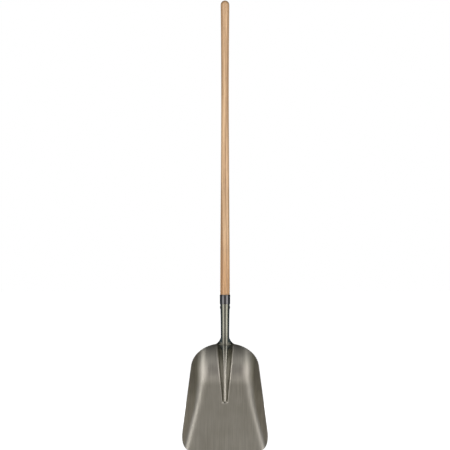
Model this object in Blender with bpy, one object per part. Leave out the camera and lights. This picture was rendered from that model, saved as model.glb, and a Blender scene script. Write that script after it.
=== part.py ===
"""Grain scoop shovel: a stamped steel scoop head, riveted to a long wooden handle under a black collar.

Frame: +Z runs along the handle from the cutting edge to the grip end, X runs across the blade and the
open face of the scoop looks towards -Y. The origin is the middle of the bounding box at the cutting edge.
Lengths in the constants are millimetres. The working frame has Y = 0 on the handle's axis and Z = 0 on the
front face's cutting edge; the finished pieces are then moved so that the bounding box stands on the origin.
"""

import math

import bmesh
import bpy
import numpy as np

MM = 0.001
GAP = 0.3                        # clearance between touching pieces

# ---- driving dimensions ----
OVERALL_LENGTH = 1524.0          # 60 in, cutting edge to grip end
SHEET = 1.5                      # head's steel sheet

# pan, seen square to the handle
LIFT = math.radians(22.0)        # pan floor against the handle
HANDLE_TOP = OVERALL_LENGTH - SHEET * math.sin(LIFT)   # the sheet's back edge lies below Z = 0
SIDE_TOP = 283.0                 # height where the sides meet the shoulders
SIDE_TOP_HALF = 114.5            # half width there
SIDE_SPLAY = 0.13                # widening of the sides per mm towards the cutting edge
SHOULDER_RISE = 78.0             # shoulders' height above SIDE_TOP
CORNER_RISE = 70.0               # front corner's rounding, along the side
CORNER_WIDTH = 40.0              # front corner's rounding, along the cutting edge
ROUNDNESS = 2.2                  # superellipse power of shoulders and corners

# floor, side walls and rear wall
FOLD_HALF = 50.5                 # flat floor's half width at the rear
FOLD_BEND = 243.0                # height where the fold starts to splay
FOLD_SPLAY = 0.258               # fold's splay per mm below FOLD_BEND
FOLD_EASE = 20.0                 # softness of that bend
FOLD_FRONT_RADIUS = 40.0         # bend between floor and side wall, in front
FOLD_REAR_RADIUS = 60.0          # and at the rear
FOLD_GROWTH_START = 120.0        # heights between which that radius grows
FOLD_GROWTH_END = 290.0
WALL_ANGLE = math.radians(56.0)  # side wall's steepest slope against the floor
REAR_START = 218.0               # height where the floor starts to curve up into the rear wall
REAR_RADIUS = 150.0              # radius of the rear wall's curve

# frog, the raised hollow ridge
FROG_TIP = 155.0                 # height of the frog's blunt lower end
FROG_TIP_RISE = 4.0              # frog's height above the floor at that end
FROG_TIP_LENGTH = 11.0           # length over which the blunt end drops to the floor
FROG_TIP_HALF = 12.0             # half width of the frog's foot at the tip
FROG_REAR_HALF = 33.8            # half width of the frog's foot at the rear edge
FOOT_TIP_FILLET = 6.0            # bend between the frog's flank and the floor, at the tip
FOOT_REAR_FILLET = 10.0          # and at the rear edge
CREST_TIP_RADIUS = 4.5           # radius of the frog's crest at the tip
CREST_REAR_RADIUS = 7.5          # and at the rear edge, before it swells
CREST_SWELL = 250.0              # height where the crest starts to swell towards the neck
REAR_EDGE = 358.0                # height of the rear edge beside the frog

# skirt, from the rear edge up to the round neck
SKIRT_FILLET_END = 0.4           # part of the skirt over which the foot's fillet fades out
SKIRT_WAIST = 1.25               # pull of the skirt's edge towards the neck, in neck radii
SKIRT_WAIST_RISE = 0.3           # and the part of the skirt's height where it pulls

# socket
NECK_RADIUS = 14.45              # outer radius at the narrow lower end
NECK_HEIGHT = 384.0              # height where the skirt has become a round tube
NECK_WRAP = math.radians(105.0)  # half angle that the sheet wraps round there
SEAM_HEIGHT = 432.0              # height where the back seam has closed
SEAM_GAP = 0.7                   # open seam down the back of the socket
SOCKET_TOP = 505.0
SOCKET_TOP_RADIUS = 16.6         # outer radius at the mouth
SOCKET_FLARE_POWER = 2.2

# collar
COLLAR_BOTTOM = 493.8
COLLAR_TOP = 525.7
COLLAR_RADIUS = 17.6
COLLAR_LIP_RADIUS = 18.15
COLLAR_LIP_HEIGHT = 3.0
COLLAR_EDGE = 0.5                # rounding of the collar's corners

# rivet, straight across the socket
RIVET_HEIGHT = 482.6
RIVET_RADIUS = 2.5
RIVET_HEAD_RADIUS = 5.0
RIVET_HEAD_RISE = 1.3
RIVET_HEAD_EDGE = 0.3            # straight rim under the head's dome

# wooden handle
HANDLE_FOOT = 335.0              # lower end, inside the frog's hollow
HANDLE_FOOT_RADIUS = 10.4
HANDLE_FOOT_CHAMFER = 1.0
HANDLE_DOME = 15.0               # length of the domed end
HANDLE_PROFILE = (               # height and radius of the turned handle above the socket
    (505.0, 16.15),
    (560.0, 16.1),
    (648.0, 15.75),
    (831.0, 14.6),
    (1014.0, 13.65),
    (1197.0, 12.95),
    (1400.0, 13.75),
    (HANDLE_TOP - HANDLE_DOME, 14.7),
)

# mesh density
PAN_COLUMNS = 16                 # from the frog's foot to the side rim
PAN_ROWS = 26                    # from the cutting edge to the rear edge
PAN_CORNER = 0.155               # where the outline's front run meets its side run
PAN_SHOULDER = 0.80              # where the side run meets the rear run
OUTLINE_STEPS = 400              # samples along the outline
TIP_ROWS = 4                     # over the frog's blunt tip
FROG_COLUMNS = 32                # across the frog and round the socket
SKIRT_ROWS = 6
SEAM_ROWS = 8                    # where the back seam closes
SOCKET_ROWS = 5                  # from there to the mouth
TURNED_SIDES = 32
SOCKET_RINGS = 7                 # of the handle, inside the socket
HANDLE_RINGS = 18                # above the socket
DOME_RINGS = 8
RIVET_DOME_RINGS = 4
HOLE_SIDES = 24
SHARP_ANGLE = math.radians(40.0)


# ---- shape of the pan ----

def ease(t):
    """Smooth step from 0 at t = 0 to 1 at t = 1."""
    t = min(max(t, 0.0), 1.0)
    return t * t * (3.0 - 2.0 * t)


def superellipse(t):
    """Fall from 1 at t = 0 to 0 at t = 1 on a rounded curve."""
    return (1.0 - min(max(t, 0.0), 1.0) ** ROUNDNESS) ** (1.0 / ROUNDNESS)


def side_line(z):
    """Half width of the blade's straight side, before its corners are rounded."""
    return SIDE_TOP_HALF + SIDE_SPLAY * (SIDE_TOP - z)


def half_width(z):
    """Half width of the blade's outline at height z."""
    shoulder = superellipse((z - SIDE_TOP) / SHOULDER_RISE)
    corner = 1.0 - superellipse((CORNER_RISE - z) / CORNER_RISE)
    return side_line(z) * shoulder - CORNER_WIDTH * corner


def floor_plane(z):
    """Depth of the flat floor's plane at height z."""
    return (z - FROG_TIP) * math.tan(LIFT) - NECK_RADIUS + FROG_TIP_RISE


def floor_depth(z):
    """Depth of the floor down the middle: flat, then an arc up the rear wall."""
    if z <= REAR_START:
        return floor_plane(z)
    arc_middle = REAR_START + REAR_RADIUS * math.sin(LIFT)
    deepest = floor_plane(REAR_START) + REAR_RADIUS * (1.0 - math.cos(LIFT))
    rise = REAR_RADIUS - math.sqrt(REAR_RADIUS ** 2 - (z - arc_middle) ** 2)
    return deepest - rise


def fold_half(z):
    """Half width of the flat part of the floor at height z."""
    below = FOLD_BEND - z
    eased = 0.5 * (below + math.hypot(below, FOLD_EASE))
    return FOLD_HALF + FOLD_SPLAY * eased


def fold_radius(z):
    """Radius of the bend between floor and side wall, wider towards the rear."""
    growth = ease((z - FOLD_GROWTH_START) / (FOLD_GROWTH_END - FOLD_GROWTH_START))
    return FOLD_FRONT_RADIUS + (FOLD_REAR_RADIUS - FOLD_FRONT_RADIUS) * growth


def wall_rise(x, z):
    """Height of the side wall above the floor: an arc, then straight."""
    out = abs(x) - fold_half(z)
    if out <= 0.0:
        return 0.0
    radius = fold_radius(z)
    arc_out = radius * math.sin(WALL_ANGLE)
    if out < arc_out:
        return radius - math.sqrt(radius ** 2 - out ** 2)
    arc_rise = radius * (1.0 - math.cos(WALL_ANGLE))
    return arc_rise + (out - arc_out) * math.tan(WALL_ANGLE)


def pan_point(x, z):
    return (x, floor_depth(z) - wall_rise(x, z), z)


# ---- shape of the frog and socket ----

def frog_part(z):
    """0 at the frog's tip, 1 at the rear edge and above."""
    return min(max((z - FROG_TIP) / (REAR_EDGE - FROG_TIP), 0.0), 1.0)


def foot_half(z):
    """Half width of the frog's foot, where it meets the pan."""
    return FROG_TIP_HALF + (FROG_REAR_HALF - FROG_TIP_HALF) * frog_part(z)


def foot_fillet(z):
    """Radius of the bend between the frog's flank and the floor."""
    return FOOT_TIP_FILLET + (FOOT_REAR_FILLET - FOOT_TIP_FILLET) * frog_part(z)


def crest_radius(z):
    """Radius of the frog's crest: narrow along the pan, then swelling up to the round neck."""
    narrow = CREST_TIP_RADIUS + (CREST_REAR_RADIUS - CREST_TIP_RADIUS) * frog_part(z)
    swell = ease((z - CREST_SWELL) / (NECK_HEIGHT - CREST_SWELL))
    return narrow + (NECK_RADIUS - narrow) * swell


def socket_radius(z):
    t = max((z - NECK_HEIGHT) / (SOCKET_TOP - NECK_HEIGHT), 0.0)
    return NECK_RADIUS + (SOCKET_TOP_RADIUS - NECK_RADIUS) * t ** SOCKET_FLARE_POWER


def ridge_section(radius, fillet, crest, edge_x, edge_y, count):
    """Half a ridge's section: an arc over the crest, a straight flank and a fillet to the edge point."""
    both = radius + fillet
    deep = edge_y - crest - both
    away = math.hypot(edge_x, deep)
    turn = math.atan2(edge_x, -deep) - math.acos(both / away)
    arc = radius * turn
    flank = math.sqrt(away ** 2 - both ** 2)
    length = arc + flank + fillet * turn
    points = []
    for k in range(count + 1):
        along = length * k / count
        over = min(along, arc) / radius
        down = min(max(along - arc, 0.0), flank)
        x = radius * math.sin(over) + down * math.cos(turn)
        y = crest + radius * (1.0 - math.cos(over)) + down * math.sin(turn)
        if fillet > 0.0 and along > arc + flank:
            left = turn - (along - arc - flank) / fillet
            x += fillet * (math.sin(turn) - math.sin(left))
            y += fillet * (math.cos(left) - math.cos(turn))
        points.append((x, y))
    return points


def frog_section(z, count):
    """Half section of the frog, or of the flat floor below its tip."""
    floor = floor_depth(z)
    height = (floor + NECK_RADIUS) * ease((z - FROG_TIP) / FROG_TIP_LENGTH)
    return ridge_section(crest_radius(z), foot_fillet(z), floor - height, foot_half(z), floor, count)


def skirt_edge(t):
    """Edge of the skirt, from the rear edge beside the frog (t = 0) up to the round neck (t = 1)."""
    start = np.array([FROG_REAR_HALF, floor_depth(REAR_EDGE), REAR_EDGE])
    neck_x = NECK_RADIUS * math.sin(NECK_WRAP)
    neck_y = -NECK_RADIUS * math.cos(NECK_WRAP)
    end = np.array([neck_x, neck_y, NECK_HEIGHT])
    waist_height = REAR_EDGE + SKIRT_WAIST_RISE * (NECK_HEIGHT - REAR_EDGE)
    middle = np.array([SKIRT_WAIST * NECK_RADIUS, 0.5 * (start[1] + end[1]), waist_height])
    return start * (1.0 - t) ** 2 + middle * (2.0 * t * (1.0 - t)) + end * t ** 2


def skirt_section(t, count):
    """Height and half section of the skirt at part t of its edge."""
    edge_x, edge_y, z = skirt_edge(t)
    fillet = FOOT_REAR_FILLET * max(1.0 - t / SKIRT_FILLET_END, 0.0)
    return z, ridge_section(crest_radius(z), fillet, -NECK_RADIUS, edge_x, edge_y, count)


def socket_section(z, count):
    """Half section of the socket: an arc that closes to a seam at the back."""
    radius = socket_radius(z)
    closed = math.pi - 0.5 * SEAM_GAP / radius
    wrap = NECK_WRAP + (closed - NECK_WRAP) * ease((z - NECK_HEIGHT) / (SEAM_HEIGHT - NECK_HEIGHT))
    points = []
    for k in range(count + 1):
        angle = wrap * k / count
        points.append((radius * math.sin(angle), -radius * math.cos(angle)))
    return points


# ---- the head's grid ----

def resample(points, count):
    """Points at equal steps along a polyline."""
    points = np.array(points)
    lengths = np.concatenate([[0.0], np.cumsum(np.linalg.norm(np.diff(points, axis=0), axis=1))])
    steps = np.linspace(0.0, lengths[-1], count + 1)
    return np.column_stack([np.interp(steps, lengths, points[:, i]) for i in range(2)])


def outline(start, end):
    """The blade's outline between two angles: 0 at the cutting edge's middle, 1 at the frog's rear."""
    points = []
    for k in range(OUTLINE_STEPS + 1):
        t = start + (end - start) * k / OUTLINE_STEPS
        z = REAR_EDGE * 0.5 * (1.0 - math.cos(math.pi * t))
        points.append((half_width(z), z))
    return points


def crease_heights():
    """Heights of the rows along the frog's foot: even, with close rows over the blunt tip."""
    tip_end = FROG_TIP + FROG_TIP_LENGTH
    below_count = PAN_ROWS // 3
    below = np.linspace(0.0, FROG_TIP, below_count + 1)
    tip = np.linspace(FROG_TIP, tip_end, TIP_ROWS + 1)
    above = np.linspace(tip_end, REAR_EDGE, PAN_ROWS - below_count - TIP_ROWS + 1)
    return np.concatenate([below, tip[1:], above[1:]])


def pan_patch():
    """Plan positions of one side of the pan: rows from the cutting edge up, columns out to the rim."""
    heights = crease_heights()
    inner = np.array([(foot_half(z), z) for z in heights])
    front = resample([(inner[0][0], 0.0)] + outline(0.0, PAN_CORNER), PAN_COLUMNS)
    side_even = resample(outline(PAN_CORNER, PAN_SHOULDER), OUTLINE_STEPS)
    fractions = heights / heights[-1]
    side = side_even[np.rint(fractions * OUTLINE_STEPS).astype(int)]
    rear_run = outline(PAN_SHOULDER, 1.0) + [tuple(inner[-1])]
    rear = resample(rear_run[::-1], PAN_COLUMNS)
    u = np.linspace(0.0, 1.0, PAN_COLUMNS + 1)[None, :, None]
    v = fractions[:, None, None]
    across = (1.0 - v) * front[None] + v * rear[None]
    along = (1.0 - u) * inner[:, None] + u * side[:, None]
    corners = (1.0 - v) * ((1.0 - u) * front[0] + u * front[-1])
    corners = corners + v * ((1.0 - u) * rear[0] + u * rear[-1])
    return heights, across + along - corners


def mirrored(half):
    """A whole section from its right half, left edge first."""
    left = [(-x, y) for x, y in half[:0:-1]]
    return left + half


def head_surface():
    """Vertices and quads of the head's front face."""
    vertices = []
    faces = []

    def add(point):
        vertices.append(tuple(value * MM for value in point))
        return len(vertices) - 1

    half_columns = FROG_COLUMNS // 2
    heights, grid = pan_patch()
    middle_rows = []
    for z in heights:
        middle_rows.append([add((x, y, z)) for x, y in mirrored(frog_section(z, half_columns))])
    pan_rows = len(middle_rows)
    for k in range(1, SKIRT_ROWS + 1):
        z, section = skirt_section(k / SKIRT_ROWS, half_columns)
        middle_rows.append([add((x, y, z)) for x, y in mirrored(section)])
    closing = np.linspace(NECK_HEIGHT, SEAM_HEIGHT, SEAM_ROWS + 1)
    closed = np.linspace(SEAM_HEIGHT, SOCKET_TOP, SOCKET_ROWS + 1)
    for z in np.concatenate([closing[1:], closed[1:]]):
        middle_rows.append([add((x, y, z)) for x, y in mirrored(socket_section(z, half_columns))])
    for low, high in zip(middle_rows, middle_rows[1:]):
        for k in range(FROG_COLUMNS):
            faces.append((low[k], low[k + 1], high[k + 1], high[k]))

    for side in (1, -1):
        shared = -1 if side > 0 else 0
        rows = []
        for row in range(pan_rows):
            line = [middle_rows[row][shared]]
            for x, z in grid[row, 1:]:
                line.append(add(pan_point(side * x, z)))
            rows.append(line)
        for low, high in zip(rows, rows[1:]):
            for k in range(PAN_COLUMNS):
                quad = (low[k], low[k + 1], high[k + 1], high[k])
                faces.append(quad if side > 0 else quad[::-1])
    return vertices, faces


# ---- helpers that make objects ----

def clear_scene():
    for item in list(bpy.data.objects):
        bpy.data.objects.remove(item, do_unlink=True)


def material(name, colour, roughness, metallic):
    result = bpy.data.materials.new(name)
    result.use_nodes = True
    shader = result.node_tree.nodes["Principled BSDF"]
    shader.inputs["Base Color"].default_value = (*colour, 1.0)
    shader.inputs["Roughness"].default_value = roughness
    shader.inputs["Metallic"].default_value = metallic
    result.diffuse_color = (*colour, 1.0)
    return result


def mesh_object(name, vertices, faces, look):
    mesh = bpy.data.meshes.new(name)
    mesh.from_pydata(vertices, [], faces)
    mesh.update()
    result = bpy.data.objects.new(name, mesh)
    bpy.context.collection.objects.link(result)
    if look is not None:
        mesh.materials.append(look)
    mesh.shade_smooth()
    mesh.set_sharp_from_angle(angle=SHARP_ANGLE)
    return result


def turned(name, profile, look):
    """A solid turned about Z from (radius, height) points; radius 0 makes a pole."""
    vertices = []
    rings = []
    for radius, z in profile:
        if radius == 0.0:
            vertices.append((0.0, 0.0, z * MM))
            rings.append([len(vertices) - 1] * TURNED_SIDES)
            continue
        ring = []
        for k in range(TURNED_SIDES):
            angle = 2.0 * math.pi * k / TURNED_SIDES
            vertices.append((radius * MM * math.cos(angle), radius * MM * math.sin(angle), z * MM))
            ring.append(len(vertices) - 1)
        rings.append(ring)
    faces = []
    for low, high in zip(rings, rings[1:]):
        for k in range(TURNED_SIDES):
            after = (k + 1) % TURNED_SIDES
            corners = []
            for vertex in (low[k], low[after], high[after], high[k]):
                if vertex not in corners:
                    corners.append(vertex)
            faces.append(corners)
    return mesh_object(name, vertices, faces, look)


def rivet_hole(name):
    """Cutter for the rivet's clearance hole, right across the socket."""
    bpy.ops.mesh.primitive_cylinder_add(
        vertices=HOLE_SIDES,
        radius=(RIVET_RADIUS + GAP) * MM,
        depth=4.0 * SOCKET_TOP_RADIUS * MM,
        location=(0.0, 0.0, RIVET_HEIGHT * MM),
        rotation=(0.0, math.pi / 2.0, 0.0),
    )
    cutter = bpy.context.object
    cutter.name = name
    cutter.hide_render = True
    cutter.display_type = "WIRE"
    return cutter


def cut(target, cutter):
    modifier = target.modifiers.new("rivet hole", "BOOLEAN")
    modifier.operation = "DIFFERENCE"
    modifier.object = cutter


# ---- the pieces ----

def build_scoop_head(cutter):
    vertices, faces = head_surface()
    steel = material("steel", (0.36, 0.34, 0.30), 0.35, 1.0)
    head = mesh_object("scoop_head", vertices, faces, steel)
    thickness = head.modifiers.new("sheet", "SOLIDIFY")
    thickness.thickness = SHEET * MM
    thickness.offset = -1.0
    thickness.use_even_offset = True
    cut(head, cutter)
    return head


def handle_radius(z):
    """Smooth radius of the handle above the socket."""
    heights = [point[0] for point in HANDLE_PROFILE]
    radii = [point[1] for point in HANDLE_PROFILE]
    slopes = np.gradient(radii, heights)
    k = min(max(int(np.searchsorted(heights, z)) - 1, 0), len(heights) - 2)
    span = heights[k + 1] - heights[k]
    t = (z - heights[k]) / span
    value = radii[k] * (1.0 + 2.0 * t) * (1.0 - t) ** 2
    value += slopes[k] * span * t * (1.0 - t) ** 2
    value += radii[k + 1] * t * t * (3.0 - 2.0 * t)
    value += slopes[k + 1] * span * t * t * (t - 1.0)
    return value


def handle_profile():
    """The turned handle: its foot in the frog's hollow, the fit in the socket, the grip and domed end."""
    inside = SHEET + GAP
    mouth = SOCKET_TOP + GAP
    dome_start = HANDLE_TOP - HANDLE_DOME
    points = [(0.0, HANDLE_FOOT), (HANDLE_FOOT_RADIUS - HANDLE_FOOT_CHAMFER, HANDLE_FOOT)]
    points.append((HANDLE_FOOT_RADIUS, HANDLE_FOOT + HANDLE_FOOT_CHAMFER))
    for z in np.linspace(NECK_HEIGHT, mouth, SOCKET_RINGS + 1):
        points.append((socket_radius(min(z, SOCKET_TOP)) - inside, z))
    for z in np.linspace(mouth, dome_start, HANDLE_RINGS):
        points.append((handle_radius(z), z))
    end_radius = handle_radius(dome_start)
    for k in range(1, DOME_RINGS):
        angle = 0.5 * math.pi * k / DOME_RINGS
        points.append((end_radius * math.cos(angle), dome_start + HANDLE_DOME * math.sin(angle)))
    points.append((0.0, HANDLE_TOP))
    return points


def build_handle(cutter):
    wood = material("wood", (0.60, 0.42, 0.25), 0.45, 0.0)
    handle = turned("handle", handle_profile(), wood)
    cut(handle, cutter)
    return handle


def build_collar():
    """A sleeve, stepped inside from the socket's mouth to the wood above it."""
    over_socket = SOCKET_TOP_RADIUS + GAP
    over_wood = handle_radius(SOCKET_TOP + GAP) + GAP
    step = SOCKET_TOP + 2.0 * GAP
    lip = COLLAR_TOP - COLLAR_LIP_HEIGHT
    edge = COLLAR_EDGE
    profile = [
        (over_socket, step),
        (over_socket, COLLAR_BOTTOM),
        (COLLAR_RADIUS - edge, COLLAR_BOTTOM),
        (COLLAR_RADIUS, COLLAR_BOTTOM + edge),
        (COLLAR_RADIUS, lip - edge),
        (COLLAR_LIP_RADIUS, lip),
        (COLLAR_LIP_RADIUS, COLLAR_TOP - edge),
        (COLLAR_LIP_RADIUS - edge, COLLAR_TOP),
        (over_wood, COLLAR_TOP),
        (over_wood, step),
        (over_socket, step),
    ]
    look = material("collar", (0.02, 0.02, 0.02), 0.3, 0.0)
    collar = turned("collar", profile, look)
    mesh = bmesh.new()
    mesh.from_mesh(collar.data)
    bmesh.ops.remove_doubles(mesh, verts=mesh.verts, dist=0.00001)
    mesh.to_mesh(collar.data)
    mesh.free()
    return collar


def build_rivet():
    """A pin right across the socket with a low domed head at each end."""
    seat = socket_radius(RIVET_HEIGHT) + GAP
    rim = seat + RIVET_HEAD_EDGE
    half = [(RIVET_RADIUS, seat), (RIVET_HEAD_RADIUS - RIVET_HEAD_EDGE, seat), (RIVET_HEAD_RADIUS, rim)]
    for k in range(1, RIVET_DOME_RINGS):
        angle = 0.5 * math.pi * k / RIVET_DOME_RINGS
        dome = (RIVET_HEAD_RISE - RIVET_HEAD_EDGE) * math.sin(angle)
        half.append((RIVET_HEAD_RADIUS * math.cos(angle), rim + dome))
    half.append((0.0, seat + RIVET_HEAD_RISE))
    profile = [(radius, -z) for radius, z in half[::-1]] + half
    steel = material("rivet", (0.45, 0.44, 0.42), 0.3, 1.0)
    rivet = turned("rivet", profile, steel)
    rivet.rotation_euler = (0.0, math.pi / 2.0, 0.0)
    rivet.location = (0.0, 0.0, RIVET_HEIGHT * MM)
    return rivet


def stand_on_origin(pieces):
    """Move everything so that the bounding box stands on the origin, centred in depth."""
    bpy.context.view_layer.update()
    graph = bpy.context.evaluated_depsgraph_get()
    points = []
    for piece in pieces:
        shaped = piece.evaluated_get(graph)
        points.extend(shaped.matrix_world @ vertex.co for vertex in shaped.data.vertices)
    depths = [point.y for point in points]
    lowest = min(point.z for point in points)
    middle = 0.5 * (min(depths) + max(depths))
    for item in bpy.data.objects:
        item.location.y -= middle
        item.location.z -= lowest


def main():
    clear_scene()
    cutter = rivet_hole("rivet_hole")
    pieces = [build_scoop_head(cutter), build_handle(cutter), build_collar(), build_rivet()]
    stand_on_origin(pieces)


main()
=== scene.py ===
"""Looks of the grain scoop shovel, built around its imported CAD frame.

The fine pieces repeat the CAD part's formulas on a much finer grid. Lengths in the constants are
millimetres, except for the room's, which are metres. The working frame has Y = 0 on the handle's axis and
Z = 0 on the front face's cutting edge; mesh_piece() moves it to where the CAD frame has it.
"""

import math

import bpy
import numpy as np
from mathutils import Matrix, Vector


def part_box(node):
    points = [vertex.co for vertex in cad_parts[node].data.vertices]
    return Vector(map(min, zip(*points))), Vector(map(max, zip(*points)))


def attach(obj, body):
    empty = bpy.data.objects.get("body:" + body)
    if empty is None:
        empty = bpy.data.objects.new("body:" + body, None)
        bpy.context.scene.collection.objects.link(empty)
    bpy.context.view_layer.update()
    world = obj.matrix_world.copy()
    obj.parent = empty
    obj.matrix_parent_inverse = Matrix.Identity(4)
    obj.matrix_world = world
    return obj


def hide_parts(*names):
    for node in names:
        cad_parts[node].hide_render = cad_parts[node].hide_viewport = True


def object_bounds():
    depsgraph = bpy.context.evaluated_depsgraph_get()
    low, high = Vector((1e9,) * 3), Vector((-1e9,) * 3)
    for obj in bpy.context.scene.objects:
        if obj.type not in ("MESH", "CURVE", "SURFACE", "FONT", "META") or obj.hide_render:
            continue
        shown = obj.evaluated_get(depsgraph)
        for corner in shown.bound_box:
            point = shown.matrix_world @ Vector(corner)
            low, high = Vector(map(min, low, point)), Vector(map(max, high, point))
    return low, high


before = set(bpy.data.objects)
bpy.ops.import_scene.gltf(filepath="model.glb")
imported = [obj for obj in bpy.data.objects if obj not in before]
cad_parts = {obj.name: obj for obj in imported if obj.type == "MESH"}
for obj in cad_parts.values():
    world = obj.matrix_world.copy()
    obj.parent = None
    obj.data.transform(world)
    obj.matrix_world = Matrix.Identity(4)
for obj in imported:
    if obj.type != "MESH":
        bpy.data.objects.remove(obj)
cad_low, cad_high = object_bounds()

MM = 0.001
GAP = 0.3                        # clearance between touching pieces

# ---- the CAD part's driving dimensions ----
OVERALL_LENGTH = 1524.0          # 60 in, cutting edge to grip end
SHEET = 1.5                      # head's steel sheet

# pan, seen square to the handle
LIFT = math.radians(22.0)        # pan floor against the handle
HANDLE_TOP = OVERALL_LENGTH - SHEET * math.sin(LIFT)   # the sheet's back edge lies below Z = 0
SIDE_TOP = 283.0                 # height where the sides meet the shoulders
SIDE_TOP_HALF = 114.5            # half width there
SIDE_SPLAY = 0.13                # widening of the sides per mm towards the cutting edge
SHOULDER_RISE = 78.0             # shoulders' height above SIDE_TOP
CORNER_RISE = 70.0               # front corner's rounding, along the side
CORNER_WIDTH = 40.0              # front corner's rounding, along the cutting edge
ROUNDNESS = 2.2                  # superellipse power of shoulders and corners

# floor, side walls and rear wall
FOLD_HALF = 50.5                 # flat floor's half width at the rear
FOLD_BEND = 243.0                # height where the fold starts to splay
FOLD_SPLAY = 0.258               # fold's splay per mm below FOLD_BEND
FOLD_EASE = 20.0                 # softness of that bend
FOLD_FRONT_RADIUS = 40.0         # bend between floor and side wall, in front
FOLD_REAR_RADIUS = 60.0          # and at the rear
FOLD_GROWTH_START = 120.0        # heights between which that radius grows
FOLD_GROWTH_END = 290.0
WALL_ANGLE = math.radians(56.0)  # side wall's steepest slope against the floor
REAR_START = 218.0               # height where the floor starts to curve up into the rear wall
REAR_RADIUS = 150.0              # radius of the rear wall's curve

# frog, the raised hollow ridge
FROG_TIP = 155.0                 # height of the frog's blunt lower end
FROG_TIP_RISE = 4.0              # frog's height above the floor at that end
FROG_TIP_LENGTH = 11.0           # length over which the blunt end drops to the floor
FROG_TIP_HALF = 12.0             # half width of the frog's foot at the tip
FROG_REAR_HALF = 33.8            # half width of the frog's foot at the rear edge
FOOT_TIP_FILLET = 6.0            # bend between the frog's flank and the floor, at the tip
FOOT_REAR_FILLET = 10.0          # and at the rear edge
CREST_TIP_RADIUS = 4.5           # radius of the frog's crest at the tip
CREST_REAR_RADIUS = 7.5          # and at the rear edge, before it swells
CREST_SWELL = 250.0              # height where the crest starts to swell towards the neck
REAR_EDGE = 358.0                # height of the rear edge beside the frog

# skirt, from the rear edge up to the round neck
SKIRT_FILLET_END = 0.4           # part of the skirt over which the foot's fillet fades out
SKIRT_WAIST = 1.25               # pull of the skirt's edge towards the neck, in neck radii
SKIRT_WAIST_RISE = 0.3           # and the part of the skirt's height where it pulls

# socket
NECK_RADIUS = 14.45              # outer radius at the narrow lower end
NECK_HEIGHT = 384.0              # height where the skirt has become a round tube
NECK_WRAP = math.radians(105.0)  # half angle that the sheet wraps round there
SEAM_HEIGHT = 432.0              # height where the back seam has closed
SEAM_GAP = 0.7                   # open seam down the back of the socket
SOCKET_TOP = 505.0
SOCKET_TOP_RADIUS = 16.6         # outer radius at the mouth
SOCKET_FLARE_POWER = 2.2

# collar
COLLAR_BOTTOM = 493.8
COLLAR_TOP = 525.7
COLLAR_RADIUS = 17.6
COLLAR_LIP_RADIUS = 18.15
COLLAR_LIP_HEIGHT = 3.0
COLLAR_EDGE = 0.5                # rounding of the collar's corners

# rivet, straight across the socket
RIVET_HEIGHT = 482.6
RIVET_RADIUS = 2.5
RIVET_HEAD_RADIUS = 5.0
RIVET_HEAD_RISE = 1.3
RIVET_HEAD_EDGE = 0.3            # straight rim under the head's dome

# wooden handle
HANDLE_FOOT = 335.0              # lower end, inside the frog's hollow
HANDLE_FOOT_RADIUS = 10.4
HANDLE_FOOT_CHAMFER = 1.0
HANDLE_DOME = 15.0               # length of the domed end
HANDLE_PROFILE = (               # height and radius of the turned handle above the socket
    (505.0, 16.15),
    (560.0, 16.1),
    (648.0, 15.75),
    (831.0, 14.6),
    (1014.0, 13.65),
    (1197.0, 12.95),
    (1400.0, 13.75),
    (HANDLE_TOP - HANDLE_DOME, 14.7),
)

# ---- the looks' own dimensions ----

# small roundings
RIM_ROUNDING = 0.3               # on the sheet's sheared edges
RIM_ANGLE = math.radians(75.0)   # edges sharper than this are rounded
COINCIDENT = 0.005               # points closer than this become one
COLLAR_RING = 0.75               # distance from the collar's ends to the first ring of its straight wall
COLLAR_SLOPE = 1.0               # height over which the collar's wall steps out to the lip
COLLAR_SLOPE_RING = 0.25         # distance from that slope down to the last ring of the wall
COLLAR_SLOPE_WIDTH_EASE = 0.1    # rounding where the slope meets the lip, in radius
COLLAR_SLOPE_RISE_EASE = 0.2     # and in height

# mesh density
PAN_COLUMNS = 56                 # from the frog's foot to the side rim
PAN_ROWS = 150                   # from the cutting edge to the rear edge, besides those over the tip
PAN_CORNER = 0.155               # where the outline's front run meets its side run
PAN_SHOULDER = 0.80              # where the side run meets the rear run
OUTLINE_STEPS = 800              # samples along each run of the outline
SIDE_STEPS = 4000                # even steps along the side run, from which the rows pick theirs
TIP_ROWS = 12                    # over the frog's blunt tip, besides the pan's
FROG_COLUMNS = 72                # across the frog and round the socket
SKIRT_ROWS = 26
SEAM_ROWS = 40                   # where the back seam closes
SOCKET_ROWS = 24                 # from there to the mouth
TURNED_SIDES = 96
SOCKET_RINGS = 19                # of the handle, inside the socket
HANDLE_RINGS = 90                # above the socket
DOME_RINGS = 20
RIVET_DOME_RINGS = 12
CORNER_RINGS = 6                 # round a corner of the collar
TURNED_SHARP = math.radians(35.0)
SHEET_SHARP = math.radians(50.0)

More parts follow.
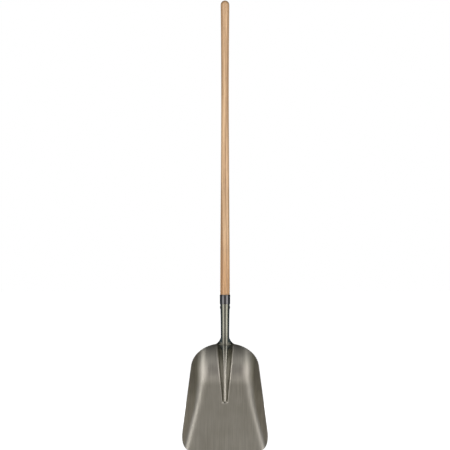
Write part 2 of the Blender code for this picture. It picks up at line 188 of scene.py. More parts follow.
# where the steel's tone changes by painted shade and painted highlights, and where the wood's tone changes
PAINTED_FROG_TIP_HALF = 7.6             # half width of the frog's painted shade, around the crest's painted highlight, at the tip
PAINTED_FROG_REAR_HALF = 26.5           # and at the rear edge
PAINTED_FROG_BLUR = 1.0                 # softness of its sides
PAINTED_FROG_START = (157.0, 164.0)     # heights between which it sets in above the tip
CREST_SIDES = (4.6, 6.0)         # distances from the middle between which the crest's painted highlight gives way to the flanks' painted shade
CREST_END = (250.0, 350.0)       # heights between which the painted shade covers the crest too
WING_START = (359.0, 364.0)      # heights between which the painted highlight on the skirt's wings sets in
WING_END = (376.0, 386.0)        # and fade out
WING_SIDES = (8.4, 11.2)         # distances from the middle between which they set in
HEIGHT_SPAN = 1000.0             # lengths that the colour ramps of these limits cover
CREST_SPAN = 10.0
WING_SPAN = 20.0
# painted shade: darker and cooler up the rear wall and darkest in a band just below the rear edge; above
# it the skirt and socket get lighter, taking back part of the frog's painted shade
STEEL_TONES = (                  # height and what red, green and blue are multiplied by
    (290.0, (1.00, 1.00, 1.00)),
    (320.0, (0.94, 0.94, 0.94)),
    (336.0, (0.93, 0.93, 0.93)),
    (342.0, (0.84, 0.86, 0.88)),
    (351.0, (0.80, 0.83, 0.86)),
    (354.0, (0.58, 0.58, 0.58)),
    (358.0, (0.62, 0.62, 0.62)),
    (362.0, (1.15, 1.15, 1.15)),
    (378.0, (1.25, 1.25, 1.25)),
    (400.0, (1.65, 1.65, 1.65)),
)
WOOD_TONES = (                   # the same for the wood
    (580.0, (0.98, 0.88, 0.76)),
    (740.0, (1.00, 1.00, 1.00)),
)

# ---- camera and room, in metres and degrees ----
LENS = 300.0                     # lens and sensor in millimetres
SENSOR = 36.0
CAMERA_REACH = 200.0
TOP_MARGIN = 1.0 / 900.0         # gap above the grip end, as a part of the picture's height

FLOOR_HALF = 30.0
FLOOR_DROP = 0.0005              # floor's distance below the cutting edge

STRIPS = (                       # name, angle from straight ahead, watts
    ("strip_left", -46.0, 13.0),
    ("strip_right", 48.0, 23.5),
)
STRIP_DISTANCE = 3.2
STRIP_HEIGHT = -0.7              # middle of the strips, below the floor that the steel does not mirror
STRIP_WIDTH = 0.8
STRIP_LENGTH = 5.8

FILLS = (                        # name, distance in front of the handle, height, watts
    ("front_fill", 3.3, 1.9, 57.0),
    ("back_fill", -3.3, 1.4, 26.0),
)
FILL_TARGET = 1.3
FILL_WIDTH = 2.0
FILL_LENGTH = 2.5

WHITE = (1.0, 1.0, 1.0)
STUDIO_BY_HEIGHT = (             # 0 is straight down, 1 straight up; the horizon is the brightest
    (0.0, (0.10, 0.10, 0.10)),
    (0.10, (0.14, 0.14, 0.14)),
    (0.17, (0.20, 0.20, 0.20)),
    (0.38, (0.82, 0.82, 0.82)),
    (0.50, (1.20, 1.14, 1.17)),
    (0.67, (0.88, 0.86, 0.86)),
    (0.80, (0.400, 0.388, 0.368)),
    (0.84, (0.330, 0.319, 0.298)),
    (1.0, (0.255, 0.244, 0.223)),
)
STUDIO_BY_DEPTH = (              # 0 is straight in front of the open face, 1 straight behind the back
    (0.0, (0.08, 0.08, 0.08)),
    (0.014, (0.08, 0.08, 0.08)),
    (0.028, WHITE),
    (0.20, WHITE),
    (0.34, (0.46, 0.47, 0.48)),
    (0.46, (0.06, 0.085, 0.105)),
    (1.0, (0.06, 0.08, 0.10)),
)
STUDIO_BEHIND = (                # an added patch behind, for the pan's back, along the same direction
    (0.80, (0.0, 0.0, 0.0)),
    (0.88, (0.45, 0.45, 0.45)),
    (1.0, (0.60, 0.60, 0.60)),
)
STUDIO_BELOW = (                 # and how it weakens from below the horizon upwards
    (0.36, WHITE),
    (0.47, (0.2, 0.2, 0.2)),
)


# ---- shape of the pan ----

def ease(t):
    """Smooth step from 0 at t = 0 to 1 at t = 1."""
    t = min(max(t, 0.0), 1.0)
    return t * t * (3.0 - 2.0 * t)


def superellipse(t):
    """Fall from 1 at t = 0 to 0 at t = 1 on a rounded curve."""
    return (1.0 - min(max(t, 0.0), 1.0) ** ROUNDNESS) ** (1.0 / ROUNDNESS)


def side_line(z):
    """Half width of the blade's straight side, before its corners are rounded."""
    return SIDE_TOP_HALF + SIDE_SPLAY * (SIDE_TOP - z)


def half_width(z):
    """Half width of the blade's outline at height z."""
    shoulder = superellipse((z - SIDE_TOP) / SHOULDER_RISE)
    corner = 1.0 - superellipse((CORNER_RISE - z) / CORNER_RISE)
    return side_line(z) * shoulder - CORNER_WIDTH * corner


def floor_plane(z):
    """Depth of the flat floor's plane at height z."""
    return (z - FROG_TIP) * math.tan(LIFT) - NECK_RADIUS + FROG_TIP_RISE


def floor_depth(z):
    """Depth of the floor down the middle: flat, then an arc up the rear wall."""
    if z <= REAR_START:
        return floor_plane(z)
    arc_middle = REAR_START + REAR_RADIUS * math.sin(LIFT)
    deepest = floor_plane(REAR_START) + REAR_RADIUS * (1.0 - math.cos(LIFT))
    rise = REAR_RADIUS - math.sqrt(REAR_RADIUS ** 2 - (z - arc_middle) ** 2)
    return deepest - rise


def fold_half(z):
    """Half width of the flat part of the floor at height z."""
    below = FOLD_BEND - z
    eased = 0.5 * (below + math.hypot(below, FOLD_EASE))
    return FOLD_HALF + FOLD_SPLAY * eased


def fold_radius(z):
    """Radius of the bend between floor and side wall, wider towards the rear."""
    growth = ease((z - FOLD_GROWTH_START) / (FOLD_GROWTH_END - FOLD_GROWTH_START))
    return FOLD_FRONT_RADIUS + (FOLD_REAR_RADIUS - FOLD_FRONT_RADIUS) * growth


def wall_rise(x, z):
    """Height of the side wall above the floor: an arc, then straight."""
    out = abs(x) - fold_half(z)
    if out <= 0.0:
        return 0.0
    radius = fold_radius(z)
    arc_out = radius * math.sin(WALL_ANGLE)
    if out < arc_out:
        return radius - math.sqrt(radius ** 2 - out ** 2)
    arc_rise = radius * (1.0 - math.cos(WALL_ANGLE))
    return arc_rise + (out - arc_out) * math.tan(WALL_ANGLE)


def pan_point(x, z):
    """A point of the pan's front face, from its place seen square to the handle."""
    return (x, floor_depth(z) - wall_rise(x, z), z)


# ---- shape of the frog and socket ----

def frog_part(z):
    """0 at the frog's tip, 1 at the rear edge and above."""
    return min(max((z - FROG_TIP) / (REAR_EDGE - FROG_TIP), 0.0), 1.0)


def foot_half(z):
    """Half width of the frog's foot, where it meets the pan."""
    return FROG_TIP_HALF + (FROG_REAR_HALF - FROG_TIP_HALF) * frog_part(z)


def foot_fillet(z):
    """Radius of the bend between the frog's flank and the floor."""
    return FOOT_TIP_FILLET + (FOOT_REAR_FILLET - FOOT_TIP_FILLET) * frog_part(z)


def crest_radius(z):
    """Radius of the frog's crest: narrow along the pan, then swelling up to the round neck."""
    narrow = CREST_TIP_RADIUS + (CREST_REAR_RADIUS - CREST_TIP_RADIUS) * frog_part(z)
    swell = ease((z - CREST_SWELL) / (NECK_HEIGHT - CREST_SWELL))
    return narrow + (NECK_RADIUS - narrow) * swell


def socket_radius(z):
    """Outer radius of the socket, flaring from the neck to the mouth."""
    t = max((z - NECK_HEIGHT) / (SOCKET_TOP - NECK_HEIGHT), 0.0)
    return NECK_RADIUS + (SOCKET_TOP_RADIUS - NECK_RADIUS) * t ** SOCKET_FLARE_POWER


def ridge_section(radius, fillet, crest, edge_x, edge_y, count):
    """Half a ridge's section: an arc over the crest, a straight flank and a fillet to the edge point."""
    both = radius + fillet
    deep = edge_y - crest - both
    away = math.hypot(edge_x, deep)
    turn = math.atan2(edge_x, -deep) - math.acos(both / away)
    arc = radius * turn
    flank = math.sqrt(away ** 2 - both ** 2)
    length = arc + flank + fillet * turn
    points = []
    for k in range(count + 1):
        along = length * k / count
        over = min(along, arc) / radius
        down = min(max(along - arc, 0.0), flank)
        x = radius * math.sin(over) + down * math.cos(turn)
        y = crest + radius * (1.0 - math.cos(over)) + down * math.sin(turn)
        if fillet > 0.0 and along > arc + flank:
            left = turn - (along - arc - flank) / fillet
            x += fillet * (math.sin(turn) - math.sin(left))
            y += fillet * (math.cos(left) - math.cos(turn))
        points.append((x, y))
    return points


def frog_section(z, count):
    """Half section of the frog, or of the flat floor below its tip."""
    floor = floor_depth(z)
    height = (floor + NECK_RADIUS) * ease((z - FROG_TIP) / FROG_TIP_LENGTH)
    return ridge_section(crest_radius(z), foot_fillet(z), floor - height, foot_half(z), floor, count)


def skirt_edge(t):
    """Edge of the skirt, from the rear edge beside the frog (t = 0) up to the round neck (t = 1)."""
    start = np.array([FROG_REAR_HALF, floor_depth(REAR_EDGE), REAR_EDGE])
    neck_x = NECK_RADIUS * math.sin(NECK_WRAP)
    neck_y = -NECK_RADIUS * math.cos(NECK_WRAP)
    end = np.array([neck_x, neck_y, NECK_HEIGHT])
    waist_height = REAR_EDGE + SKIRT_WAIST_RISE * (NECK_HEIGHT - REAR_EDGE)
    middle = np.array([SKIRT_WAIST * NECK_RADIUS, 0.5 * (start[1] + end[1]), waist_height])
    return start * (1.0 - t) ** 2 + middle * (2.0 * t * (1.0 - t)) + end * t ** 2


def skirt_section(t, count):
    """Height and half section of the skirt at part t of its edge."""
    edge_x, edge_y, z = skirt_edge(t)
    fillet = FOOT_REAR_FILLET * max(1.0 - t / SKIRT_FILLET_END, 0.0)
    return z, ridge_section(crest_radius(z), fillet, -NECK_RADIUS, edge_x, edge_y, count)


def socket_section(z, count):
    """Half section of the socket: an arc that closes to a seam at the back."""
    radius = socket_radius(z)
    closed = math.pi - 0.5 * SEAM_GAP / radius
    wrap = NECK_WRAP + (closed - NECK_WRAP) * ease((z - NECK_HEIGHT) / (SEAM_HEIGHT - NECK_HEIGHT))
    points = []
    for k in range(count + 1):
        angle = wrap * k / count
        points.append((radius * math.sin(angle), -radius * math.cos(angle)))
    return points


# ---- the head's grid ----

def resample(points, count):
    """Points at equal steps along a polyline."""
    points = np.array(points)
    lengths = np.concatenate([[0.0], np.cumsum(np.linalg.norm(np.diff(points, axis=0), axis=1))])
    steps = np.linspace(0.0, lengths[-1], count + 1)
    return np.column_stack([np.interp(steps, lengths, points[:, i]) for i in range(2)])


def outline(start, end):
    """The blade's outline between two angles: 0 at the cutting edge's middle, 1 at the frog's rear."""
    points = []
    for k in range(OUTLINE_STEPS + 1):
        t = start + (end - start) * k / OUTLINE_STEPS
        z = REAR_EDGE * 0.5 * (1.0 - math.cos(math.pi * t))
        points.append((half_width(z), z))
    return points


def crease_heights():
    """Heights of the rows along the frog's foot: even, with close rows over the blunt tip."""
    tip_end = FROG_TIP + FROG_TIP_LENGTH
    below_count = int(PAN_ROWS * FROG_TIP / REAR_EDGE)
    below = np.linspace(0.0, FROG_TIP, below_count + 1)
    tip = np.linspace(FROG_TIP, tip_end, TIP_ROWS + 1)
    above = np.linspace(tip_end, REAR_EDGE, PAN_ROWS - below_count + 1)
    return np.concatenate([below, tip[1:], above[1:]])


def pan_patch():
    """Plan positions of one side of the pan: rows from the cutting edge up, columns out to the rim."""
    heights = crease_heights()
    inner = np.array([(foot_half(z), z) for z in heights])
    front = resample([(inner[0][0], 0.0)] + outline(0.0, PAN_CORNER), PAN_COLUMNS)
    side_even = resample(outline(PAN_CORNER, PAN_SHOULDER), SIDE_STEPS)
    fractions = heights / heights[-1]
    side = side_even[np.rint(fractions * SIDE_STEPS).astype(int)]
    rear_run = outline(PAN_SHOULDER, 1.0) + [tuple(inner[-1])]
    rear = resample(rear_run[::-1], PAN_COLUMNS)
    u = np.linspace(0.0, 1.0, PAN_COLUMNS + 1)[None, :, None]
    v = fractions[:, None, None]
    across = (1.0 - v) * front[None] + v * rear[None]
    along = (1.0 - u) * inner[:, None] + u * side[:, None]
    corners = (1.0 - v) * ((1.0 - u) * front[0] + u * front[-1])
    corners = corners + v * ((1.0 - u) * rear[0] + u * rear[-1])
    return heights, across + along - corners


def mirrored(half):
    """A whole section from its right half, left edge first."""
    left = [(-x, y) for x, y in half[:0:-1]]
    return left + half


def head_surface():
    """Vertices and quads of the head's front face."""
    vertices = []
    faces = []

    def add(point):
        vertices.append(point)
        return len(vertices) - 1

    half_columns = FROG_COLUMNS // 2
    heights, grid = pan_patch()
    middle_rows = []
    for z in heights:
        middle_rows.append([add((x, y, z)) for x, y in mirrored(frog_section(z, half_columns))])
    pan_rows = len(middle_rows)
    for k in range(1, SKIRT_ROWS + 1):
        z, section = skirt_section(k / SKIRT_ROWS, half_columns)
        middle_rows.append([add((x, y, z)) for x, y in mirrored(section)])
    closing = np.linspace(NECK_HEIGHT, SEAM_HEIGHT, SEAM_ROWS + 1)
    closed = np.linspace(SEAM_HEIGHT, SOCKET_TOP, SOCKET_ROWS + 1)
    for z in np.concatenate([closing[1:], closed[1:]]):
        middle_rows.append([add((x, y, z)) for x, y in mirrored(socket_section(z, half_columns))])
    for low, high in zip(middle_rows, middle_rows[1:]):
        for k in range(FROG_COLUMNS):
            faces.append((low[k], low[k + 1], high[k + 1], high[k]))

    for side in (1, -1):
        shared = -1 if side > 0 else 0
        rows = []
        for row in range(pan_rows):
            line = [middle_rows[row][shared]]
            for x, z in grid[row, 1:]:
                line.append(add(pan_point(side * x, z)))
            rows.append(line)
        for low, high in zip(rows, rows[1:]):
            for k in range(PAN_COLUMNS):
                quad = (low[k], low[k + 1], high[k + 1], high[k])
                faces.append(quad if side > 0 else quad[::-1])
    return vertices, faces


# ---- the turned pieces' profiles ----

def handle_radius(z):
    """Smooth radius of the handle above the socket."""
    heights = [point[0] for point in HANDLE_PROFILE]
    radii = [point[1] for point in HANDLE_PROFILE]
    slopes = np.gradient(radii, heights)
    k = min(max(int(np.searchsorted(heights, z)) - 1, 0), len(heights) - 2)
    span = heights[k + 1] - heights[k]
    t = (z - heights[k]) / span
    value = radii[k] * (1.0 + 2.0 * t) * (1.0 - t) ** 2
    value += slopes[k] * span * t * (1.0 - t) ** 2
    value += radii[k + 1] * t * t * (3.0 - 2.0 * t)
    value += slopes[k + 1] * span * t * t * (t - 1.0)
    return value


def handle_profile():
    """The turned handle: its foot in the frog's hollow, the fit in the socket, the grip and domed end."""
    inside = SHEET + GAP
    mouth = SOCKET_TOP + GAP
    dome_start = HANDLE_TOP - HANDLE_DOME
    points = [(0.0, HANDLE_FOOT), (HANDLE_FOOT_RADIUS - HANDLE_FOOT_CHAMFER, HANDLE_FOOT)]
    points.append((HANDLE_FOOT_RADIUS, HANDLE_FOOT + HANDLE_FOOT_CHAMFER))
    for z in np.linspace(NECK_HEIGHT, mouth, SOCKET_RINGS + 1):
        points.append((socket_radius(min(z, SOCKET_TOP)) - inside, z))
    for z in np.linspace(mouth, dome_start, HANDLE_RINGS):
        points.append((handle_radius(z), z))
    end_radius = handle_radius(dome_start)
    for k in range(1, DOME_RINGS):
        angle = 0.5 * math.pi * k / DOME_RINGS
        points.append((end_radius * math.cos(angle), dome_start + HANDLE_DOME * math.sin(angle)))
    points.append((0.0, HANDLE_TOP))
    return points


def collar_profile():
    """A sleeve, stepped inside from the socket's mouth to the wood above it, with rounded ends outside."""
    over_socket = SOCKET_TOP_RADIUS + GAP
    over_wood = handle_radius(SOCKET_TOP + GAP) + GAP
    step = SOCKET_TOP + 2.0 * GAP
    lip = COLLAR_TOP - COLLAR_LIP_HEIGHT
    slope = lip - COLLAR_SLOPE
    edge = COLLAR_EDGE

    def corner(centre_radius, centre_height, start):
        points = []
        for k in range(CORNER_RINGS + 1):
            angle = start + 0.5 * math.pi * k / CORNER_RINGS
            points.append((centre_radius + edge * math.cos(angle), centre_height + edge * math.sin(angle)))
        return points

    inside = [(over_socket, step), (over_socket, COLLAR_BOTTOM)]
    bottom = corner(COLLAR_RADIUS - edge, COLLAR_BOTTOM + edge, -0.5 * math.pi)
    wall = [
        (COLLAR_RADIUS, COLLAR_BOTTOM + COLLAR_RING),
        (COLLAR_RADIUS, slope - COLLAR_SLOPE_RING),
        (COLLAR_RADIUS, slope),
        (COLLAR_LIP_RADIUS - COLLAR_SLOPE_WIDTH_EASE, lip - COLLAR_SLOPE_RISE_EASE),
        (COLLAR_LIP_RADIUS, lip),
        (COLLAR_LIP_RADIUS, COLLAR_TOP - COLLAR_RING),
    ]
    top = corner(COLLAR_LIP_RADIUS - edge, COLLAR_TOP - edge, 0.0)
    back_inside = [(over_wood, COLLAR_TOP), (over_wood, step), (over_socket, step)]
    return inside + bottom + wall + top + back_inside


def rivet_profile():
    """A pin right across the socket with a low domed head at each end."""
    seat = socket_radius(RIVET_HEIGHT) + GAP
    rim = seat + RIVET_HEAD_EDGE
    half = [(RIVET_RADIUS, seat), (RIVET_HEAD_RADIUS - RIVET_HEAD_EDGE, seat), (RIVET_HEAD_RADIUS, rim)]
    for k in range(1, RIVET_DOME_RINGS):
        angle = 0.5 * math.pi * k / RIVET_DOME_RINGS
        dome = (RIVET_HEAD_RISE - RIVET_HEAD_EDGE) * math.sin(angle)
        half.append((RIVET_HEAD_RADIUS * math.cos(angle), rim + dome))
    half.append((0.0, seat + RIVET_HEAD_RISE))
    return [(radius, -z) for radius, z in half[::-1]] + half


# ---- helpers that make objects ----

axis_y = 0.5 * (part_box("handle")[0][1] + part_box("handle")[1][1])
base_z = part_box("collar")[0][2] - COLLAR_BOTTOM * MM


def mesh_piece(name, vertices, faces, sharp_angle):
    """A mesh object from working-frame millimetres, put where the CAD frame has it."""
    placed = [(x * MM, y * MM + axis_y, z * MM + base_z) for x, y, z in vertices]
    mesh = bpy.data.meshes.new(name)
    mesh.from_pydata(placed, [], faces)
    mesh.update()
    piece = bpy.data.objects.new(name, mesh)
    bpy.context.collection.objects.link(piece)
    mesh.shade_smooth()
    mesh.set_sharp_from_angle(angle=sharp_angle)
    return piece


def turned(name, profile, sideways_at=None, closed=False):
    """A solid turned about Z, or about X at height sideways_at; a closed profile makes a ring."""
    vertices = []
    rings = []
    points = profile[:-1] if closed else profile
    for radius, z in points:
        count = 1 if radius == 0.0 else TURNED_SIDES
        ring = []
        for k in range(count):
            angle = 2.0 * math.pi * k / TURNED_SIDES
            x = radius * math.cos(angle)
            y = radius * math.sin(angle)
            vertices.append((x, y, z) if sideways_at is None else (z, y, sideways_at - x))
            ring.append(len(vertices) - 1)
        rings.append(ring * TURNED_SIDES if count == 1 else ring)
    if closed:
        rings.append(rings[0])
    faces = []
    for low, high in zip(rings, rings[1:]):
        for k in range(TURNED_SIDES):
            after = (k + 1) % TURNED_SIDES
            corners = []
            for vertex in (low[k], low[after], high[after], high[k]):
                if vertex not in corners:
                    corners.append(vertex)
            faces.append(corners)
    return mesh_piece(name, vertices, faces, TURNED_SHARP)


def apply_modifiers(piece):
    """Turn the piece's modifiers into plain geometry."""
    graph = bpy.context.evaluated_depsgraph_get()
    shaped = bpy.data.meshes.new_from_object(piece.evaluated_get(graph))
    piece.modifiers.clear()
    piece.data = shaped


# ---- nodes that materials and world are made of ----

def node(tree, kind, **values):
    """A new shader node with some of its properties set."""
    made = tree.nodes.new(kind)
    for key, value in values.items():
        setattr(made, key, value)
    return made


def set_inputs(made, values):
    """Set constant values on a node's sockets, by name."""
    for name, value in values.items():
        made.inputs[name].default_value = value


def stretched_noise(tree, scale, stretch, depth=1.0, detail=4.0, distortion=0.0):
    """Noise in object space. Values of stretch and depth below 1 draw it out along Z and along Y."""
    place = node(tree, "ShaderNodeTexCoord")
    mapping = node(tree, "ShaderNodeMapping")
    set_inputs(mapping, {"Scale": (1.0, depth, stretch)})
    noise = node(tree, "ShaderNodeTexNoise")
    set_inputs(noise, {"Scale": scale, "Detail": detail, "Roughness": 0.6, "Distortion": distortion})
    tree.links.new(place.outputs["Object"], mapping.inputs["Vector"])
    tree.links.new(mapping.outputs["Vector"], noise.inputs["Vector"])
    return noise.outputs["Fac"]


def ramp(tree, source, stops):
    """A colour ramp over (position, colour) stops."""
    made = node(tree, "ShaderNodeValToRGB")
    elements = made.color_ramp.elements
    while len(elements) < len(stops):
        elements.new(0.5)
    for element, (position, colour) in zip(elements, stops):
        element.position = position
        element.color = (*colour, 1.0)
    tree.links.new(source, made.inputs["Fac"])
    return made.outputs["Color"]


def grey_ramp(tree, source, low, high, start=0.3, end=0.7):
    """A grey that goes from low at start to high at end."""
    return ramp(tree, source, [(start, (low,) * 3), (end, (high,) * 3)])


def blend(tree, kind, first, second):
    """Two colours multiplied or added."""
    mix = node(tree, "ShaderNodeMix", data_type="RGBA", blend_type=kind)
    set_inputs(mix, {"Factor": 1.0})
    tree.links.new(first, mix.inputs["A"])
    tree.links.new(second, mix.inputs["B"])
    return mix.outputs["Result"]


def multiply(tree, first, second):
    """One colour tinted by another."""
    return blend(tree, "MULTIPLY", first, second)


def calculate(tree, operation, first, second):
    """One math node; each operand is a number or another node's output."""
    made = node(tree, "ShaderNodeMath", operation=operation)
    for socket, value in zip(made.inputs, (first, second)):
        if isinstance(value, float):
            socket.default_value = value
        else:
            tree.links.new(value, socket)
    return made.outputs["Value"]


def add_bump(tree, shader, height, strength, distance):
    """Fine relief; the distance is in metres."""
    bump = node(tree, "ShaderNodeBump")
    set_inputs(bump, {"Strength": strength, "Distance": distance})
    tree.links.new(height, bump.inputs["Height"])
    tree.links.new(bump.outputs["Normal"], shader.inputs["Normal"])


def coordinate(tree, kind, axis):
    """One axis of the point on the object ("Object", metres) or of the world's direction ("Generated")."""
    place = node(tree, "ShaderNodeTexCoord")
    split = node(tree, "ShaderNodeSeparateXYZ")
    tree.links.new(place.outputs[kind], split.inputs["Vector"])
    return split.outputs[axis]


# ---- places on the object ----

def working_height(tree):
    """A point's height in the working frame, in metres."""
    return calculate(tree, "SUBTRACT", coordinate(tree, "Object", "Z"), base_z)


def distance_from_middle(tree):
    """A point's distance from the plane between the left and right halves, in metres."""
    return calculate(tree, "ABSOLUTE", coordinate(tree, "Object", "X"), 0.0)


def rising(tree, value, limits, span):
    """0 below the first limit and 1 above the second. The ramp reads the value from 0 to span."""
    start, end = limits
    part = calculate(tree, "MULTIPLY", value, 1.0 / (span * MM))
    return grey_ramp(tree, part, 0.0, 1.0, start / span, end / span)


def height_tones(tree, height, tones):
    """Tones that change with height, from (millimetres, colour) stops."""
    return ramp(tree, height, [(z * MM, colour) for z, colour in tones])


def frog_masks(tree, height, side):
    """Two masks: painted shade over the frog's flanks, rear end and socket, and a painted highlight along
    the frog's crest.
    """
    widening = (PAINTED_FROG_REAR_HALF - PAINTED_FROG_TIP_HALF) / (REAR_EDGE - FROG_TIP)
    start = (PAINTED_FROG_TIP_HALF - widening * FROG_TIP) * MM
    line = calculate(tree, "ADD", calculate(tree, "MULTIPLY", height, widening), start)
    inside = calculate(tree, "SUBTRACT", line, side)
    between_sides = rising(tree, inside, (0.0, PAINTED_FROG_BLUR), PAINTED_FROG_BLUR)
    above_tip = rising(tree, height, PAINTED_FROG_START, HEIGHT_SPAN)
    within = calculate(tree, "MULTIPLY", between_sides, above_tip)
    off_crest = rising(tree, side, CREST_SIDES, CREST_SPAN)
    rear = rising(tree, height, CREST_END, HEIGHT_SPAN)
    frog_shade = calculate(tree, "MULTIPLY", within, calculate(tree, "MAXIMUM", off_crest, rear))
    crest = calculate(tree, "SUBTRACT", within, frog_shade)
    return frog_shade, crest


def skirt_wings(tree, height, side):
    """1 on the outer parts of the skirt, where it draws in to the neck; it places a painted highlight
    there.
    """
    above_rear = rising(tree, height, WING_START, HEIGHT_SPAN)
    below_neck = calculate(tree, "SUBTRACT", 1.0, rising(tree, height, WING_END, HEIGHT_SPAN))
    outer = rising(tree, side, WING_SIDES, WING_SPAN)
    return calculate(tree, "MULTIPLY", calculate(tree, "MULTIPLY", above_rear, below_neck), outer)


# ---- materials ----

def new_material(name):
    """A material, its nodes and its shader."""
    material = bpy.data.materials.new(name)
    material.use_nodes = True
    tree = material.node_tree
    return material, tree, tree.nodes["Principled BSDF"]


def steel_material():
    """Clear-lacquered raw steel with fine rolling streaks along the blade and faint clouding, plus painted
    shade over the frog and along the rear edge, and painted highlights on the frog's crest and the skirt's
    wings.
    """
    material, tree, shader = new_material("lacquered_steel")
    set_inputs(shader, {"Metallic": 1.0, "Coat Weight": 0.15, "Coat Roughness": 0.25})
    streaks = stretched_noise(tree, 420.0, 0.02, depth=0.03)
    clouds = stretched_noise(tree, 22.0, 0.5, detail=2.0)
    height = working_height(tree)
    side = distance_from_middle(tree)
    frog_shade, crest = frog_masks(tree, height, side)
    tones = (
        grey_ramp(tree, streaks, 0.91, 1.07, 0.40, 0.60),
        # painted shade over the frog's flanks, rear end and socket
        ramp(tree, frog_shade, [(0.0, WHITE), (1.0, (0.40, 0.42, 0.39))]),
        # painted highlight along the frog's crest
        grey_ramp(tree, crest, 1.0, 1.25, 0.0, 1.0),
        # painted highlight on the skirt's wings
        grey_ramp(tree, skirt_wings(tree, height, side), 1.0, 2.4, 0.0, 1.0),
        # painted shade along the rear edge, and the socket lifted out of the frog's painted shade
        height_tones(tree, height, STEEL_TONES),
    )
    shade = ramp(tree, clouds, [(0.35, (0.44, 0.417, 0.36)), (0.65, (0.48, 0.457, 0.40))])
    for tone in tones:
        shade = multiply(tree, shade, tone)
    tree.links.new(shade, shader.inputs["Base Color"])
    rough = grey_ramp(tree, clouds, 0.36, 0.41)
    smoother = grey_ramp(tree, frog_shade, 1.0, 0.50, 0.0, 1.0)
    tree.links.new(multiply(tree, rough, smoother), shader.inputs["Roughness"])
    add_bump(tree, shader, streaks, 0.04, 0.0002)
    return material


def wood_material():
    """Clear-lacquered straight-grained hardwood, a little more orange towards the socket."""
    material, tree, shader = new_material("handle_wood")
    set_inputs(shader, {"Roughness": 0.42, "Coat Weight": 0.4, "Coat Roughness": 0.20})
    bands = stretched_noise(tree, 190.0, 0.012, detail=3.0, distortion=0.3)
    fibres = stretched_noise(tree, 900.0, 0.02, detail=2.0)
    base = ramp(tree, bands, [
        (0.38, (0.33, 0.190, 0.092)),
        (0.48, (0.47, 0.295, 0.155)),
        (0.60, (0.61, 0.405, 0.230)),
    ])
    tint = grey_ramp(tree, fibres, 0.86, 1.06, 0.40, 0.60)
    warm = height_tones(tree, working_height(tree), WOOD_TONES)
    shade = multiply(tree, multiply(tree, base, tint), warm)
    tree.links.new(shade, shader.inputs["Base Color"])
    add_bump(tree, shader, fibres, 0.15, 0.0003)
    return material


def collar_material():
    """Glossy black lacquer over metal, nearly even."""
    material, tree, shader = new_material("black_collar")
    set_inputs(shader, {"Metallic": 1.0})
    grain = stretched_noise(tree, 160.0, 1.0)
    tree.links.new(grey_ramp(tree, grain, 0.15, 0.18), shader.inputs["Base Color"])
    tree.links.new(grey_ramp(tree, grain, 0.04, 0.07), shader.inputs["Roughness"])
    add_bump(tree, shader, grain, 0.005, 0.0001)
    return material


def rivet_material():
    """Plain steel with a fine grain."""
    material, tree, shader = new_material("rivet_steel")
    set_inputs(shader, {"Metallic": 1.0})
    grain = stretched_noise(tree, 700.0, 1.0)
    base = ramp(tree, grain, [(0.3, (0.34, 0.33, 0.30)), (0.7, (0.45, 0.43, 0.39))])
    tree.links.new(base, shader.inputs["Base Color"])
    tree.links.new(grey_ramp(tree, grain, 0.26, 0.4), shader.inputs["Roughness"])
    add_bump(tree, shader, grain, 0.1, 0.0002)
    return material


# ---- the pieces ----

def finish_piece(piece, material, cad_node):
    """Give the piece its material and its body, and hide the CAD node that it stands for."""
    piece.data.materials.clear()
    piece.data.materials.append(material)
    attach(piece, "root")
    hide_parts(cad_node)


def build_scoop_head():
    """The stamped sheet: its front face thickened backwards, with its sheared edges rounded."""
    vertices, faces = head_surface()
    head = mesh_piece("scoop_head_sheet", vertices, faces, math.pi)
    thickness = head.modifiers.new("sheet", "SOLIDIFY")
    thickness.thickness = SHEET * MM
    thickness.offset = -1.0
    thickness.use_even_offset = True
    rounding = head.modifiers.new("sheared edges", "BEVEL")
    rounding.width = RIM_ROUNDING * MM
    rounding.segments = 2
    rounding.limit_method = "ANGLE"
    rounding.angle_limit = RIM_ANGLE
    rounding.use_clamp_overlap = False
    welding = head.modifiers.new("coincident points", "WELD")
    welding.mode = "CONNECTED"
    welding.merge_threshold = COINCIDENT * MM
    apply_modifiers(head)
    head.data.shade_smooth()
    head.data.set_sharp_from_angle(angle=SHEET_SHARP)
    finish_piece(head, steel_material(), "scoop_head")


def build_handle():
    """The turned wooden handle."""
    handle = turned("handle_wood", handle_profile())
    finish_piece(handle, wood_material(), "handle")


def build_collar():
    """The black sleeve over the socket's mouth."""
    collar = turned("black_sleeve", collar_profile(), closed=True)
    finish_piece(collar, collar_material(), "collar")


def build_rivet():
    """The rivet through socket and wood."""
    rivet = turned("socket_rivet", rivet_profile(), sideways_at=RIVET_HEIGHT)
    finish_piece(rivet, rivet_material(), "rivet")


# ---- camera, room and light ----

def build_camera():
    """Level and square on, with the object filling the picture's height."""
    height = cad_high[2] - cad_low[2]
    data = bpy.data.cameras.new("camera")
    data.lens = LENS
    data.sensor_width = SENSOR
    data.clip_end = CAMERA_REACH
    camera = bpy.data.objects.new("camera", data)
    bpy.context.collection.objects.link(camera)
    framed = height / (1.0 - TOP_MARGIN)
    camera.location = (0.0, axis_y - framed * LENS / SENSOR, 0.5 * framed)
    camera.rotation_euler = (0.5 * math.pi, 0.0, 0.0)
    bpy.context.scene.camera = camera


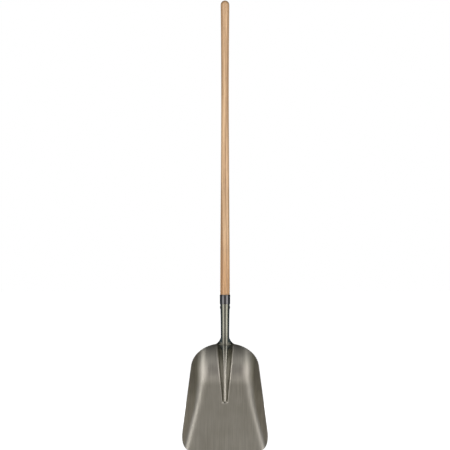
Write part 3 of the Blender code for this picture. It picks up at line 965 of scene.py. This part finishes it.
def build_floor():
    """A plain white floor that casts no shadow and that the steel does not mirror."""
    half = FLOOR_HALF
    mesh = bpy.data.meshes.new("floor")
    corners = [(-half, -half, 0.0), (half, -half, 0.0), (half, half, 0.0), (-half, half, 0.0)]
    mesh.from_pydata(corners, [], [(0, 1, 2, 3)])
    floor = bpy.data.objects.new("floor", mesh)
    bpy.context.collection.objects.link(floor)
    floor.location.z = -FLOOR_DROP
    material, _, shader = new_material("floor_white")
    set_inputs(shader, {
        "Base Color": (0.9, 0.9, 0.9, 1.0),
        "Roughness": 0.9,
        "Specular IOR Level": 0.0,
        "Emission Color": (*WHITE, 1.0),
        "Emission Strength": 0.92,
    })
    mesh.materials.append(material)
    floor.visible_glossy = False
    floor.visible_shadow = False


def soft_light(name, location, target, width, length, watts):
    """A rectangular light that faces its target and that the camera does not see."""
    data = bpy.data.lights.new(name, "AREA")
    data.shape = "RECTANGLE"
    data.size = width
    data.size_y = length
    data.energy = watts
    light = bpy.data.objects.new(name, data)
    bpy.context.collection.objects.link(light)
    light.location = location
    light.rotation_euler = (target - location).to_track_quat("-Z", "Y").to_euler()
    light.visible_camera = False
    return light


def build_lights():
    """Two tall strips that only the shiny pieces mirror, and two fills that only light the wood."""
    middle = Vector((0.0, axis_y, STRIP_HEIGHT))
    for name, angle, watts in STRIPS:
        turn = math.radians(angle)
        place = middle + STRIP_DISTANCE * Vector((math.sin(turn), -math.cos(turn), 0.0))
        strip = soft_light(name, place, middle, STRIP_WIDTH, STRIP_LENGTH, watts)
        strip.visible_diffuse = False
    target = Vector((0.0, axis_y, FILL_TARGET))
    for name, forward, height, watts in FILLS:
        place = Vector((0.0, axis_y - forward, height))
        fill = soft_light(name, place, target, FILL_WIDTH, FILL_LENGTH, watts)
        fill.visible_glossy = False


def direction_part(tree, axis):
    """The world's direction along one axis, moved from -1..1 to 0..1."""
    unit = node(tree, "ShaderNodeMapRange")
    set_inputs(unit, {"From Min": -1.0, "From Max": 1.0})
    tree.links.new(coordinate(tree, "Generated", axis), unit.inputs["Value"])
    return unit.outputs["Result"]


def build_world():
    """White to the camera. The pieces see a studio: bright at the horizon, dim above, below and aside."""
    world = bpy.data.worlds.new("studio")
    bpy.context.scene.world = world
    world.use_nodes = True
    tree = world.node_tree
    background = tree.nodes["Background"]
    upward = direction_part(tree, "Z")
    backward = direction_part(tree, "Y")
    around = multiply(tree, ramp(tree, upward, STUDIO_BY_HEIGHT), ramp(tree, backward, STUDIO_BY_DEPTH))
    behind = multiply(tree, ramp(tree, backward, STUDIO_BEHIND), ramp(tree, upward, STUDIO_BELOW))
    studio = blend(tree, "ADD", around, behind)
    path = node(tree, "ShaderNodeLightPath")
    choose = node(tree, "ShaderNodeMix", data_type="RGBA")
    choose.inputs["B"].default_value = (*WHITE, 1.0)
    tree.links.new(path.outputs["Is Camera Ray"], choose.inputs["Factor"])
    tree.links.new(studio, choose.inputs["A"])
    tree.links.new(choose.outputs["Result"], background.inputs["Color"])
    set_inputs(background, {"Strength": 1.0})


def main():
    """Build the room, then the four pieces."""
    bpy.context.scene.view_settings.view_transform = "Standard"
    build_camera()
    build_floor()
    build_lights()
    build_world()
    build_scoop_head()
    build_handle()
    build_collar()
    build_rivet()


main()
